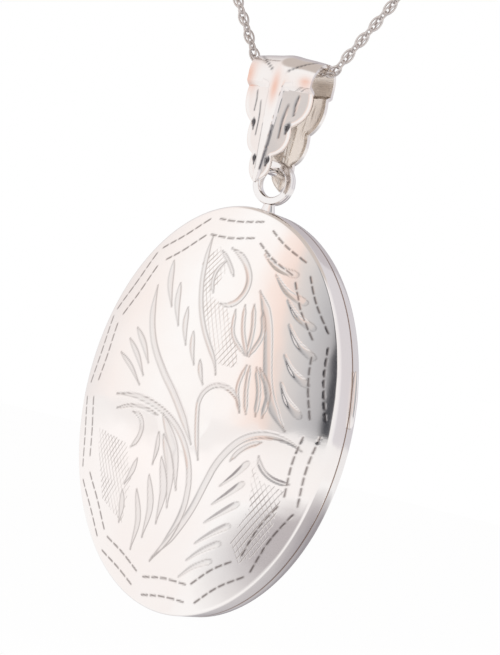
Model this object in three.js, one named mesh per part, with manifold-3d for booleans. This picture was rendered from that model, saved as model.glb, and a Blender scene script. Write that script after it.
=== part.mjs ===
// Oval silver locket on a draped chain: two hinged stamped shells with photo frames inside,
// a folded leaf-shaped bail, and the chain's end fittings.
// Millimetres. +X is the wearer's left to right as seen from the front, -Y is the front, +Z is up.
// The origin is midway between the chain's two ends, where the chain is held.
import * as THREE from 'three';
import { mergeVertices } from 'three/addons/utils/BufferGeometryUtils.js';
import Module from 'manifold-3d';

const wasm = await Module();
wasm.setup();

// ---- driving dimensions, mm ----
const FIT = 0.05; // gap between pieces that are soldered or pressed together
const RUNNING_GAP = 0.1; // gap between pieces that move on each other
const SEGMENTS = 60; // facets round the oval

// shells
const HALF_WIDTH = 15.9;
const HALF_HEIGHT = 22.5;
const SHEET = 0.5;
const SEAM_Y = 0.6;
const SEAM_GAP = 0.1;
const FRONT_DEPTH = 2.7; // straight side wall of the front shell
const BACK_DEPTH = 1.5;
const FRONT_CROWN = 4.2; // rise of the dome above its side wall
const BACK_CROWN = 3.4;
const CROWN_EXPONENT = 2.7; // higher is flatter in the middle and rounder at the shoulder
const CROWN_STEPS = 7;
const FLAT_SHARE = 0.22; // flat middle of a crown, as a share of the oval

// inside each shell
const BEZEL_WALL = 0.6;
const LEDGE_WIDTH = 0.9;
const LEDGE_THICKNESS = 0.25;
const SNAP_REACH = 0.9; // how far the back lip reaches into the front shell
const FRAME_WIDTH = 1.3;
const FRAME_THICKNESS = 0.4;
const WINDOW_THICKNESS = 0.25;
const CARD_THICKNESS = 0.25;

// hinge
const HINGE_OUT = 0.5; // hinge axis beyond the widest point of the shells
const KNUCKLE_RADIUS = 0.6;
const HINGE_PIN_RADIUS = 0.26;
const HINGE_LENGTH = 9;
const MIDDLE_KNUCKLE = 3;
const WING_DEPTH = 1.1;

// thumbnail lip
const LIP_LENGTH = 6.5;
const LIP_REACH = 0.65;
const LIP_THICKNESS = 0.6;
const LIP_HEIGHT = 4.4; // centre above the widest point

// ring on top of the back shell
const RING_RADIUS = 2; // to the middle of the wire
const RING_WIRE = 0.5; // wire radius
const RING_FOOT = 0.75;
const RING_FOOT_WIDTH = 1.6;
const RING_Y = 1.25;

// bail
const BAIL_PIN_RADIUS = 0.4;
const BAIL_PIN_ABOVE_TIP = 1.75;
const BAIL_SHEET = 0.4;
const FOLD_RADIUS = 2.85; // outside of the fold
const BAIL_HEIGHT = 14.5;
const FOLD_HALF_WIDTH = 4.45;
const CREASE_HALF_WIDTH = 4;
const RIDGE_WIDTH = 1.3;
const RIDGE_HEIGHT = 0.4;
// each lobe of the scalloped edge ends in a notch: half width and height above the tip,
// and the control point that makes it bulge
const LOBES = [
  { bulge: [1.75, 1.0], notch: [1.25, 3.1] },
  { bulge: [3.1, 4.0], notch: [2.6, 6.6] },
  { bulge: [4.8, 8.0], notch: [CREASE_HALF_WIDTH, 11.0] },
];

// chain and its end fittings
const CHAIN_WIDTH = 1.2;
const CHAIN_SIDES = 8;
const CHAIN_SEAT = 0.2; // gap between the chain and the inside of the fold
// one strand, from under the fold to its end: x and z
const STRAND = [
  [2.1, -15.5], [3.97, -15.5], [4.34, -15.45], [4.69, -15.32], [5.0, -15.1], [5.24, -14.81],
  [6.67, -12.57], [8.1, -10.33], [9.52, -8.08], [10.95, -5.84], [12.38, -3.6],
];
const CHAIN_Z = STRAND[0][1];
const CHAIN_STEPS = 24;
const LINK_GAP = 0.3; // gap between the chain's end and its ring
const JUMP_RADIUS = 1.3;
const JUMP_WIRE = 0.28;
const TAG_LENGTH = 5.5;
const TAG_WIDTH = 2.2;
const TAG_THICKNESS = 0.4;
const TAG_HOLE = 0.6;
const TAG_MARGIN = 0.5;
const EYE_RADIUS = 0.8;
const EYE_WIRE = 0.25;
const CLASP_RADIUS = 2.3;
const CLASP_TUBE = 0.6;
const CLASP_BORE = 0.38;
const BOLT_WIRE = 0.29;
const SPRING_RADIUS = 0.24;
const SPRING_WIRE = 0.06;
const SPRING_TURNS = 9;
const KNOB_RADIUS = 0.4;
// angles round the clasp from its eye, degrees
const BORE_START = 30;
const MOUTH_START = 250;
const MOUTH_END = 300;
const SOCKET_END = 312;
const BOLT_TAIL = 155;
const BOLT_TIP = 307;
const KNOB_ANGLE = 235;
const TRAVEL = 45;
const SLOT_SPARE = 8;

// ---- materials ----
const silver = (name, color, roughness) =>
  new THREE.MeshStandardMaterial({ name, color, metalness: 1, roughness });
const polishedSilver = silver('polished_silver', 0xe4e0de, 0.16);
const engravedSilver = silver('engraved_silver', 0xe2dedb, 0.2);
const insideSilver = silver('inside_silver', 0xd8cfc4, 0.35);
const chainSilver = silver('chain_silver', 0xcfc8c6, 0.25);
const acetate = new THREE.MeshStandardMaterial({
  name: 'clear_acetate', color: 0xf4f6f6, roughness: 0.08, transparent: true, opacity: 0.35,
});
const card = new THREE.MeshStandardMaterial({ name: 'ivory_card', color: 0xf1eadc, roughness: 0.8 });
const springSteel = silver('spring_steel', 0x9a9a9c, 0.4);

// ---- solids ----
function toSolid(source) {
  const geometry = source.index ? source.clone() : source;
  geometry.deleteAttribute('normal');
  geometry.deleteAttribute('uv');
  const merged = mergeVertices(geometry, 1e-5);
  const triVerts = Uint32Array.from(merged.index.array);
  const vertProperties = Float32Array.from(merged.attributes.position.array);
  const tidy = keepTriangles(triVerts);
  if (signedVolume(vertProperties, tidy) < 0) tidy.reverse();
  return new wasm.Manifold(new wasm.Mesh({ numProp: 3, vertProperties, triVerts: tidy }));
}

function keepTriangles(triVerts) {
  const kept = [];
  for (let i = 0; i < triVerts.length; i += 3) {
    const [a, b, c] = triVerts.subarray(i, i + 3);
    if (a !== b && b !== c && c !== a) kept.push(a, b, c);
  }
  return Uint32Array.from(kept);
}

function signedVolume(points, triVerts) {
  const corner = (i) => new THREE.Vector3().fromArray(points, 3 * triVerts[i]);
  let volume = 0;
  for (let i = 0; i < triVerts.length; i += 3) {
    volume += corner(i).dot(corner(i + 1).cross(corner(i + 2)));
  }
  return volume;
}

function toMesh(solid, name, material) {
  const { vertProperties, triVerts } = solid.getMesh();
  const geometry = new THREE.BufferGeometry();
  geometry.setAttribute('position', new THREE.BufferAttribute(vertProperties, 3));
  geometry.setIndex(new THREE.BufferAttribute(triVerts, 1));
  geometry.computeVertexNormals();
  const mesh = new THREE.Mesh(geometry, material);
  mesh.name = name;
  return mesh;
}

const box = (x0, x1, y0, y1, z0, z1) => toSolid(
  new THREE.BoxGeometry(x1 - x0, y1 - y0, z1 - z0)
    .translate((x0 + x1) / 2, (y0 + y1) / 2, (z0 + z1) / 2));

const rodAlongY = (radius, x, z, y0, y1, sides = 20) => toSolid(
  new THREE.CylinderGeometry(radius, radius, y1 - y0, sides).translate(x, (y0 + y1) / 2, z));

const rodAlongZ = (radius, x, y, z0, z1, sides = 20) => toSolid(
  new THREE.CylinderGeometry(radius, radius, z1 - z0, sides)
    .rotateX(Math.PI / 2).translate(x, y, (z0 + z1) / 2));

// A torus lying in the XZ plane.
const flatRing = (radius, wire, round = 32, around = 10) => toSolid(
  new THREE.TorusGeometry(radius, wire, around, round).rotateX(Math.PI / 2));

// An oval disc of the shells' outline, inset by a wall.
const oval = (inset, y0, y1) => toSolid(
  new THREE.CylinderGeometry(1, 1, y1 - y0, SEGMENTS)
    .scale(HALF_WIDTH - inset, 1, HALF_HEIGHT - inset)
    .translate(0, (y0 + y1) / 2, 0));

const ovalBand = (inset, wall, y0, y1) =>
  oval(inset, y0, y1).subtract(oval(inset + wall, y0 - 1, y1 + 1));

// A solid with a straight side from the seam to the shoulder and a crown above it.
function crowned(inset, seamY, shoulderY, crownY) {
  const profile = [new THREE.Vector2(0, seamY), new THREE.Vector2(1, seamY)];
  const flatRise = 1 - FLAT_SHARE ** CROWN_EXPONENT;
  for (let step = 0; step <= CROWN_STEPS; step += 1) {
    const turn = (step / CROWN_STEPS) * Math.acos(FLAT_SHARE);
    const radius = Math.cos(turn);
    const rise = (1 - radius ** CROWN_EXPONENT) / flatRise;
    profile.push(new THREE.Vector2(radius, shoulderY + (crownY - shoulderY) * rise));
  }
  profile.push(new THREE.Vector2(0, crownY));
  const lathe = new THREE.LatheGeometry(profile, SEGMENTS);
  return toSolid(lathe.scale(HALF_WIDTH - inset, 1, HALF_HEIGHT - inset));
}

// ---- places ----
const BAIL_TOP = CHAIN_Z + CHAIN_WIDTH / 2 + CHAIN_SEAT + BAIL_SHEET;
const FOLD_Z = BAIL_TOP - FOLD_RADIUS;
const BAIL_TIP = BAIL_TOP - BAIL_HEIGHT;
const BAIL_PIN_Z = BAIL_TIP + BAIL_PIN_ABOVE_TIP;
const RING_Z = BAIL_PIN_Z - (RING_RADIUS - RING_WIRE - BAIL_PIN_RADIUS - FIT);
const RIM_TOP = RING_Z - RING_RADIUS - RING_WIRE - RING_FOOT - FIT;
const LOCKET_Z = RIM_TOP - HALF_HEIGHT;

const FRONT_SEAM = SEAM_Y - SEAM_GAP / 2;
const BACK_SEAM = SEAM_Y + SEAM_GAP / 2;
const FRONT_SHOULDER = FRONT_SEAM - FRONT_DEPTH;
const BACK_SHOULDER = BACK_SEAM + BACK_DEPTH;
const HINGE_X = -(HALF_WIDTH + HINGE_OUT);
const CHANNEL_RADIUS = KNUCKLE_RADIUS + RUNNING_GAP;
const STRAND_END = new THREE.Vector3(STRAND.at(-1)[0], 0, STRAND.at(-1)[1]);
const STRAND_DIRECTION = STRAND_END.clone()
  .sub(new THREE.Vector3(STRAND.at(-2)[0], 0, STRAND.at(-2)[1])).normalize();

// ---- shells (all in the locket's own frame, centred on the oval) ----
const hingeChannel = rodAlongZ(CHANNEL_RADIUS, HINGE_X, SEAM_Y,
  -HINGE_LENGTH / 2 - RUNNING_GAP, HINGE_LENGTH / 2 + RUNNING_GAP);

const frontCover = () => crowned(0, FRONT_SEAM, FRONT_SHOULDER, FRONT_SHOULDER - FRONT_CROWN)
  .subtract(crowned(SHEET, FRONT_SEAM + 1, FRONT_SHOULDER,
    FRONT_SHOULDER - FRONT_CROWN + SHEET))
  .subtract(hingeChannel);

const backCover = () => crowned(0, BACK_SEAM, BACK_SHOULDER, BACK_SHOULDER + BACK_CROWN)
  .subtract(crowned(SHEET, BACK_SEAM - 1, BACK_SHOULDER,
    BACK_SHOULDER + BACK_CROWN - SHEET))
  .subtract(hingeChannel);

// ---- inside: towards is -1 in the front shell and +1 in the back shell ----
const LIP_INSET = SHEET + RUNNING_GAP;
const BEZEL_INSET = SHEET + FIT;

function slab(inset, near, thickness, towards) {
  const far = near + towards * thickness;
  return oval(inset, Math.min(near, far), Math.max(near, far));
}

function band(inset, wall, near, depth, towards) {
  const far = near + towards * depth;
  return ovalBand(inset, wall, Math.min(near, far), Math.max(near, far));
}

// A ring soldered inside a shell, with a ledge at its far end for the card to lie on.
function seat(inset, near, depth, towards) {
  const ledgeNear = near + towards * (depth - LEDGE_THICKNESS);
  return band(inset, BEZEL_WALL, near, depth, towards)
    .add(band(inset, BEZEL_WALL + LEDGE_WIDTH, ledgeNear, LEDGE_THICKNESS, towards));
}

function insideSet(side, inset, ledgeNear, towards) {
  const pieces = inset + BEZEL_WALL + FIT;
  const cardNear = ledgeNear - towards * (FIT + CARD_THICKNESS);
  const windowNear = cardNear - towards * (FIT + WINDOW_THICKNESS);
  const frameNear = windowNear - towards * (FIT + FRAME_THICKNESS);
  return [
    toMesh(slab(pieces, cardNear, CARD_THICKNESS, towards), `${side}_photo_card`, card),
    toMesh(slab(pieces, windowNear, WINDOW_THICKNESS, towards), `${side}_window`, acetate),
    toMesh(band(pieces, FRAME_WIDTH, frameNear, FRAME_THICKNESS, towards),
      `${side}_photo_frame`, insideSilver),
  ];
}

const LIP_NEAR = BACK_SEAM - SNAP_REACH;
const LIP_DEPTH = BACK_SHOULDER - FIT - LIP_NEAR;
const BEZEL_NEAR = LIP_NEAR - RUNNING_GAP;
const BEZEL_DEPTH = BEZEL_NEAR - FRONT_SHOULDER - FIT;

// ---- hinge ----
function knuckle(z0, z1, towards) {
  const wingFar = SEAM_Y + towards * (KNUCKLE_RADIUS / 3 + WING_DEPTH);
  const wingNear = SEAM_Y + towards * KNUCKLE_RADIUS / 3;
  const wing = box(HINGE_X, HINGE_X + HINGE_OUT + KNUCKLE_RADIUS,
    Math.min(wingNear, wingFar), Math.max(wingNear, wingFar), z0, z1);
  return rodAlongZ(KNUCKLE_RADIUS, HINGE_X, SEAM_Y, z0, z1)
    .add(wing)
    .subtract(oval(-FIT, SEAM_Y - FRONT_DEPTH, SEAM_Y + FRONT_DEPTH))
    .subtract(rodAlongZ(HINGE_PIN_RADIUS + RUNNING_GAP / 2, HINGE_X, SEAM_Y, z0 - 1, z1 + 1));
}

const MIDDLE_END = MIDDLE_KNUCKLE / 2;
const OUTER_START = MIDDLE_END + RUNNING_GAP;
const hingePin = () => rodAlongZ(HINGE_PIN_RADIUS, HINGE_X, SEAM_Y,
  -HINGE_LENGTH / 2 - FIT, HINGE_LENGTH / 2 + FIT, 16);

// ---- thumbnail lip: a crescent on the edge of the back shell ----
function nailLip() {
  const edgeX = HALF_WIDTH * Math.sqrt(1 - (LIP_HEIGHT / HALF_HEIGHT) ** 2);
  const normal = new THREE.Vector2(edgeX / HALF_WIDTH ** 2, LIP_HEIGHT / HALF_HEIGHT ** 2);
  normal.normalize();
  const rimRadius = HALF_HEIGHT ** 2 / HALF_WIDTH;
  const sagitta = LIP_REACH + (LIP_LENGTH / 2) ** 2 / (2 * rimRadius);
  const radius = ((LIP_LENGTH / 2) ** 2 + sagitta ** 2) / (2 * sagitta);
  const centre = new THREE.Vector2(edgeX, LIP_HEIGHT).addScaledVector(normal, LIP_REACH - radius);
  const y0 = BACK_SEAM + FIT;
  return rodAlongY(radius, centre.x, centre.y, y0, y0 + LIP_THICKNESS, 72)
    .subtract(oval(-FIT, y0 - 1, y0 + LIP_THICKNESS + 1));
}

// ---- ring on top of the back shell, in the locket's frame ----
function topRing() {
  const foot = RING_FOOT_WIDTH / 2;
  const ringZ = RING_Z - LOCKET_Z;
  const solder = box(-foot, foot, -RING_WIRE, RING_WIRE, HALF_HEIGHT + FIT, ringZ - RING_RADIUS);
  return flatRing(RING_RADIUS, RING_WIRE).translate([0, 0, ringZ])
    .add(solder).translate([0, RING_Y, 0]);
}

// ---- bail ----
function leafOutline() {
  const outline = new THREE.Shape();
  const at = (side, [w, h]) => [side * w, BAIL_TIP + h];
  outline.moveTo(0, BAIL_TIP);
  for (const { bulge, notch } of LOBES) outline.quadraticCurveTo(...at(1, bulge), ...at(1, notch));
  outline.lineTo(...at(1, [FOLD_HALF_WIDTH, BAIL_HEIGHT]));
  outline.lineTo(...at(1, [FOLD_HALF_WIDTH, BAIL_HEIGHT + 1]));
  outline.lineTo(...at(-1, [FOLD_HALF_WIDTH, BAIL_HEIGHT + 1]));
  outline.lineTo(...at(-1, [FOLD_HALF_WIDTH, BAIL_HEIGHT]));
  outline.lineTo(...at(-1, LOBES.at(-1).notch));
  for (let i = LOBES.length - 1; i >= 0; i -= 1) {
    const end = i === 0 ? [0, 0] : LOBES[i - 1].notch;
    outline.quadraticCurveTo(...at(-1, LOBES[i].bulge), ...at(-1, end));
  }
  return outline;
}

function foldedStrip() {
  const inside = FOLD_RADIUS - BAIL_SHEET;
  const section = new THREE.Shape();
  section.moveTo(FOLD_RADIUS, BAIL_TIP);
  section.lineTo(FOLD_RADIUS, FOLD_Z);
  section.absarc(0, FOLD_Z, FOLD_RADIUS, 0, Math.PI, false);
  section.lineTo(-FOLD_RADIUS, BAIL_TIP);
  section.lineTo(-inside, BAIL_TIP);
  section.lineTo(-inside, FOLD_Z);
  section.absarc(0, FOLD_Z, inside, Math.PI, 0, true);
  section.lineTo(inside, BAIL_TIP);
  const width = 2 * FOLD_HALF_WIDTH + 1;
  const strip = new THREE.ExtrudeGeometry(section,
    { depth: width, bevelEnabled: false, curveSegments: 12 });
  strip.translate(0, 0, -width / 2);
  // section plane (x, y) becomes (y, z), and the depth runs along x
  return toSolid(strip.applyMatrix4(new THREE.Matrix4().makeBasis(
    new THREE.Vector3(0, 1, 0), new THREE.Vector3(0, 0, 1), new THREE.Vector3(1, 0, 0))));
}

function ridge(side) {
  const section = new THREE.Shape();
  section.moveTo(-RIDGE_WIDTH / 2, side * (FOLD_RADIUS - BAIL_SHEET / 2));
  section.lineTo(0, side * (FOLD_RADIUS + RIDGE_HEIGHT));
  section.lineTo(RIDGE_WIDTH / 2, side * (FOLD_RADIUS - BAIL_SHEET / 2));
  const height = FOLD_Z - BAIL_TIP;
  const bar = new THREE.ExtrudeGeometry(section, { depth: height, bevelEnabled: false });
  return toSolid(bar.translate(0, 0, BAIL_TIP));
}

function bail() {
  const depth = 2 * (FOLD_RADIUS + RIDGE_HEIGHT) + 1;
  const outline = new THREE.ExtrudeGeometry(leafOutline(),
    { depth, bevelEnabled: false, curveSegments: 6 });
  outline.translate(0, 0, -depth / 2).rotateX(Math.PI / 2);
  return foldedStrip().add(ridge(-1)).add(ridge(1)).intersect(toSolid(outline));
}

const BAIL_PIN_HALF = FOLD_RADIUS - BAIL_SHEET - FIT;
const bailPin = () => rodAlongY(BAIL_PIN_RADIUS, 0, BAIL_PIN_Z, -BAIL_PIN_HALF, BAIL_PIN_HALF);

// ---- chain ----
function chain() {
  const half = STRAND.map(([x, z]) => new THREE.Vector3(x, 0, z));
  const mirrored = STRAND.map(([x, z]) => new THREE.Vector3(-x, 0, z)).reverse();
  const middle = new THREE.Vector3(0, 0, CHAIN_Z);
  const route = new THREE.CatmullRomCurve3([...mirrored, middle, ...half]);
  const section = new THREE.Shape();
  section.absarc(0, 0, CHAIN_WIDTH / 2, 0, 2 * Math.PI, false);
  return toSolid(new THREE.ExtrudeGeometry(section,
    { steps: CHAIN_STEPS, curveSegments: CHAIN_SIDES / 2, bevelEnabled: false, extrudePath: route }));
}

// ---- end fittings: built at the origin with the strand's pull along +X, then placed ----
const JUMP_X = LINK_GAP + JUMP_WIRE + JUMP_RADIUS;
const JUMP_FAR = JUMP_X + JUMP_RADIUS;
const jumpRing = () => flatRing(JUMP_RADIUS, JUMP_WIRE, 28, 8).translate([JUMP_X, 0, 0]);

function tag() {
  const holeX = JUMP_FAR + TAG_HOLE - JUMP_WIRE - RUNNING_GAP;
  const startX = holeX - TAG_HOLE - TAG_MARGIN;
  const end = TAG_WIDTH / 2;
  const outline = new THREE.Shape();
  outline.moveTo(startX + end, -end);
  outline.lineTo(startX + TAG_LENGTH - end, -end);
  outline.absarc(startX + TAG_LENGTH - end, 0, end, -Math.PI / 2, Math.PI / 2, false);
  outline.lineTo(startX + end, end);
  outline.absarc(startX + end, 0, end, Math.PI / 2, 1.5 * Math.PI, false);
  for (const x of [holeX, startX + TAG_LENGTH - TAG_MARGIN - 1.5 * TAG_HOLE]) {
    const hole = new THREE.Path();
    hole.absarc(x, 0, TAG_HOLE, 0, 2 * Math.PI, true);
    outline.holes.push(hole);
  }
  return toSolid(new THREE.ExtrudeGeometry(outline,
    { depth: TAG_THICKNESS, bevelEnabled: false, curveSegments: 10 })
    .translate(0, 0, -TAG_THICKNESS / 2));
}

const EYE_X = JUMP_FAR + EYE_RADIUS - JUMP_WIRE - EYE_WIRE - RUNNING_GAP;
const EYE_SINK = 0.2; // how deep the eye is soldered into the clasp's wall
const CLASP_X = EYE_X + EYE_RADIUS + EYE_WIRE - EYE_SINK + CLASP_RADIUS + CLASP_TUBE;

// A round bar bent to an arc in the XZ plane. Angles run from the eye, in degrees.
function arcBar(wire, from, to, sides = 10) {
  const place = (degrees) => {
    const turn = THREE.MathUtils.degToRad(180 + degrees);
    return new THREE.Vector3(CLASP_RADIUS * Math.cos(turn), 0, CLASP_RADIUS * Math.sin(turn));
  };
  const steps = Math.max(2, Math.round((to - from) / 12));
  const points = Array.from({ length: steps + 1 }, (_, i) => place(from + (to - from) * i / steps));
  const section = new THREE.Shape();
  section.absarc(0, 0, wire, 0, 2 * Math.PI, false);
  return toSolid(new THREE.ExtrudeGeometry(section, {
    steps, curveSegments: sides / 2, bevelEnabled: false,
    extrudePath: new THREE.CatmullRomCurve3(points),
  }));
}

function onClasp(radius, degrees) {
  const turn = THREE.MathUtils.degToRad(180 + degrees);
  return [radius * Math.cos(turn), 0, radius * Math.sin(turn)];
}

function claspBody() {
  const eye = toSolid(new THREE.TorusGeometry(EYE_RADIUS, EYE_WIRE, 8, 24)
    .translate(EYE_X - CLASP_X, 0, 0));
  const slotDepth = CLASP_TUBE + KNOB_RADIUS;
  const slotWidth = BOLT_WIRE + RUNNING_GAP;
  const slotRing = toSolid(new THREE.CylinderGeometry(CLASP_RADIUS + slotDepth,
    CLASP_RADIUS + slotDepth, slotWidth, 48)).subtract(
    toSolid(new THREE.CylinderGeometry(CLASP_RADIUS, CLASP_RADIUS, slotWidth + 1, 48)));
  const slotFan = new THREE.Shape();
  const from = THREE.MathUtils.degToRad(180 + KNOB_ANGLE - TRAVEL - SLOT_SPARE);
  const to = THREE.MathUtils.degToRad(180 + KNOB_ANGLE + SLOT_SPARE);
  const fanRadius = 2 * CLASP_RADIUS;
  slotFan.moveTo(0, 0);
  slotFan.lineTo(fanRadius * Math.cos(from), fanRadius * Math.sin(from));
  slotFan.absarc(0, 0, fanRadius, from, to, false);
  const fan = toSolid(new THREE.ExtrudeGeometry(slotFan,
    { depth: 2, bevelEnabled: false, curveSegments: 8 }).translate(0, 0, -1)
    .applyMatrix4(new THREE.Matrix4().makeBasis(new THREE.Vector3(1, 0, 0),
      new THREE.Vector3(0, 0, 1), new THREE.Vector3(0, -1, 0))));
  return arcBar(CLASP_TUBE, MOUTH_END - 360, MOUTH_START)
    .subtract(arcBar(CLASP_BORE, BORE_START, MOUTH_START + 3))
    .subtract(arcBar(CLASP_BORE, MOUTH_END - 3, SOCKET_END))
    .subtract(slotRing.intersect(fan))
    .add(eye)
    .translate([CLASP_X, 0, 0]);
}

function claspTrigger() {
  const knobAt = onClasp(CLASP_RADIUS + CLASP_TUBE + KNOB_RADIUS, KNOB_ANGLE);
  const knob = toSolid(new THREE.SphereGeometry(KNOB_RADIUS, 12, 8).translate(...knobAt));
  const reach = CLASP_TUBE + KNOB_RADIUS;
  const stem = toSolid(new THREE.CylinderGeometry(0.14, 0.14, reach, 10)
    .rotateZ(-Math.PI / 2).translate(CLASP_RADIUS + reach / 2, 0, 0)
    .rotateY(-THREE.MathUtils.degToRad(180 + KNOB_ANGLE)));
  return arcBar(BOLT_WIRE, BOLT_TAIL, BOLT_TIP).add(stem).add(knob).translate([CLASP_X, 0, 0]);
}

function claspSpring() {
  const from = BORE_START + 3;
  const to = BOLT_TAIL - 3;
  const points = [];
  const count = SPRING_TURNS * 8;
  for (let i = 0; i <= count; i += 1) {
    const along = from + (to - from) * i / count;
    const turn = (i / 8) * 2 * Math.PI;
    const [x, , z] = onClasp(CLASP_RADIUS + SPRING_RADIUS * Math.cos(turn), along);
    points.push(new THREE.Vector3(x, SPRING_RADIUS * Math.sin(turn), z));
  }
  const section = new THREE.Shape();
  section.absarc(0, 0, SPRING_WIRE, 0, 2 * Math.PI, false);
  return toSolid(new THREE.ExtrudeGeometry(section, {
    steps: count, curveSegments: 3, bevelEnabled: false,
    extrudePath: new THREE.CatmullRomCurve3(points),
  })).translate([CLASP_X, 0, 0]);
}

// ---- assembly ----
const part = new THREE.Group();

const locket = new THREE.Group();
locket.position.z = LOCKET_Z;
part.add(locket);
locket.add(
  toMesh(frontCover(), 'front_cover', engravedSilver),
  toMesh(seat(BEZEL_INSET, BEZEL_NEAR, BEZEL_DEPTH, -1), 'front_bezel', insideSilver),
  ...insideSet('front', BEZEL_INSET, BEZEL_NEAR - BEZEL_DEPTH + LEDGE_THICKNESS, -1),
  toMesh(knuckle(-MIDDLE_END, MIDDLE_END, -1), 'front_knuckle', polishedSilver),
  toMesh(backCover(), 'back_cover', polishedSilver),
  toMesh(seat(LIP_INSET, LIP_NEAR, LIP_DEPTH, 1), 'snap_bezel', insideSilver),
  ...insideSet('back', LIP_INSET, LIP_NEAR + LIP_DEPTH - LEDGE_THICKNESS, 1),
  toMesh(knuckle(OUTER_START, HINGE_LENGTH / 2, 1), 'back_knuckle_upper', polishedSilver),
  toMesh(knuckle(-HINGE_LENGTH / 2, -OUTER_START, 1), 'back_knuckle_lower', polishedSilver),
  toMesh(hingePin(), 'hinge_pin', polishedSilver),
  toMesh(nailLip(), 'nail_lip', polishedSilver),
  toMesh(topRing(), 'top_ring', polishedSilver),
);

part.add(
  toMesh(bail(), 'bail', engravedSilver),
  toMesh(bailPin(), 'bail_pin', polishedSilver),
  toMesh(chain(), 'chain', chainSilver),
);

// the end fittings line up with the strands' pull
const pull = Math.atan2(STRAND_DIRECTION.z, STRAND_DIRECTION.x);
const rightEnd = new THREE.Group();
rightEnd.position.copy(STRAND_END);
rightEnd.rotation.y = -pull;
rightEnd.add(
  toMesh(jumpRing(), 'clasp_jump_ring', chainSilver),
  toMesh(claspBody(), 'clasp_body', chainSilver),
  toMesh(claspTrigger(), 'clasp_trigger', chainSilver),
  toMesh(claspSpring(), 'clasp_spring', springSteel),
);
const leftEnd = new THREE.Group();
leftEnd.position.set(-STRAND_END.x, 0, STRAND_END.z);
leftEnd.rotation.y = pull - Math.PI;
leftEnd.add(
  toMesh(jumpRing(), 'tag_jump_ring', chainSilver),
  toMesh(tag(), 'chain_tag', chainSilver),
);
part.add(rightEnd, leftEnd);

export default part;
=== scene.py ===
# %% [markdown]
# # An engraved silver locket
# The locket hangs from a folded bail on a fine chain. The CAD model holds every piece at its real
# place, so this lesson only gives the pieces their fine surfaces: the engraved dome, the pressed
# leaves of the bail, the chain's links and the finish of each metal. The frame is loaded first.

# %% Load the frame
import math

import bpy
import numpy as np
from mathutils import Matrix, Vector


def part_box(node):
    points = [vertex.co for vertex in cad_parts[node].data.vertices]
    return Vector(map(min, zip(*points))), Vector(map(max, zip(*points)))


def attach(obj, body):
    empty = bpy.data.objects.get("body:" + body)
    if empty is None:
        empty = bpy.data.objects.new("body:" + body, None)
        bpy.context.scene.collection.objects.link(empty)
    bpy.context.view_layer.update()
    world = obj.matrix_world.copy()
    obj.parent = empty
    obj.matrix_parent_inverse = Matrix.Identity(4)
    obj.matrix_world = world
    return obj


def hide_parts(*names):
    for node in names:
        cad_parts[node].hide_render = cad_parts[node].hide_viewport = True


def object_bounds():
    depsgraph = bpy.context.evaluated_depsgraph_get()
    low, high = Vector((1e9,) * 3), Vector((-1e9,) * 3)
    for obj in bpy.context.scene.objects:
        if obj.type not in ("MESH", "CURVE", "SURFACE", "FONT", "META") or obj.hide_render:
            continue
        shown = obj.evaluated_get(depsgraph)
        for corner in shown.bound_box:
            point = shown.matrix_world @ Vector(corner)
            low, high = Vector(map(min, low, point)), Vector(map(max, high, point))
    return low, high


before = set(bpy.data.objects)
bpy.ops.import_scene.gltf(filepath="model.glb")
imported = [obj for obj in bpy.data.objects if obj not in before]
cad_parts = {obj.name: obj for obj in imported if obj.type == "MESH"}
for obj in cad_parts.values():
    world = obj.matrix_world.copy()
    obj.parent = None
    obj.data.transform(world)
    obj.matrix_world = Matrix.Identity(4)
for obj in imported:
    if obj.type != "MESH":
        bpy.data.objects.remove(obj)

cad_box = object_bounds()
bpy.ops.object.select_all(action="DESELECT")
scene = bpy.context.scene
scene.view_settings.view_transform = "Standard"
MM = 0.001
print("CAD box", cad_box)

# %% [markdown]
# ## The locket's own measures
# Every later step needs the oval's centre and half axes. They are read from the CAD nodes, so a
# change of size there is followed here.

# %% Places and sizes, in metres
front_low, front_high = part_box("front_cover")
back_low, back_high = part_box("back_cover")
HALF_WIDTH = (front_high[0] - front_low[0]) / 2
HALF_HEIGHT = (front_high[2] - front_low[2]) / 2
CENTRE = Vector(((front_high[0] + front_low[0]) / 2, 0, (front_high[2] + front_low[2]) / 2))
FRONT_SEAM = front_high[1]
BACK_SEAM = back_low[1]
FRONT_DEPTH = 2.7 * MM
BACK_DEPTH = 1.5 * MM
SHEET = 0.5 * MM
FRONT_SHOULDER = FRONT_SEAM - FRONT_DEPTH
BACK_SHOULDER = BACK_SEAM + BACK_DEPTH
FRONT_CROWN = FRONT_SHOULDER - front_low[1]
BACK_CROWN = back_high[1] - BACK_SHOULDER
CROWN_EXPONENT = 2.7
FLAT_SHARE = 0.22
print("oval", HALF_WIDTH, HALF_HEIGHT, "centre", tuple(CENTRE))

# %% [markdown]
# ## Camera
# The locket leans in the view because the camera is rolled, not because the locket hangs crooked.
# The camera stands in front and to the right, level with the middle of the oval, and is close
# enough for the bail to be seen slightly from below. A long lens keeps the oval's shape true.

# %% Camera
AZIMUTH = math.radians(30.65)
ELEVATION = math.radians(-2.0)
ROLL = math.radians(12.98)
DISTANCE = 240 * MM
LENS = 121.5
AIM = CENTRE + Vector((1.86, 0, 9.72)) * MM

outward = Vector((math.sin(AZIMUTH) * math.cos(ELEVATION),
                  -math.cos(AZIMUTH) * math.cos(ELEVATION), math.sin(ELEVATION)))
bpy.ops.object.camera_add(location=AIM + outward * DISTANCE)
camera = bpy.context.object
camera.name = "camera"
camera.data.lens = LENS
camera.data.clip_start = 0.01
turn = outward.to_track_quat("Z", "Y").to_matrix() @ Matrix.Rotation(ROLL, 3, "Z")
camera.rotation_euler = turn.to_euler()
scene.camera = camera
print("camera at", tuple(round(v, 4) for v in camera.location))

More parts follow.
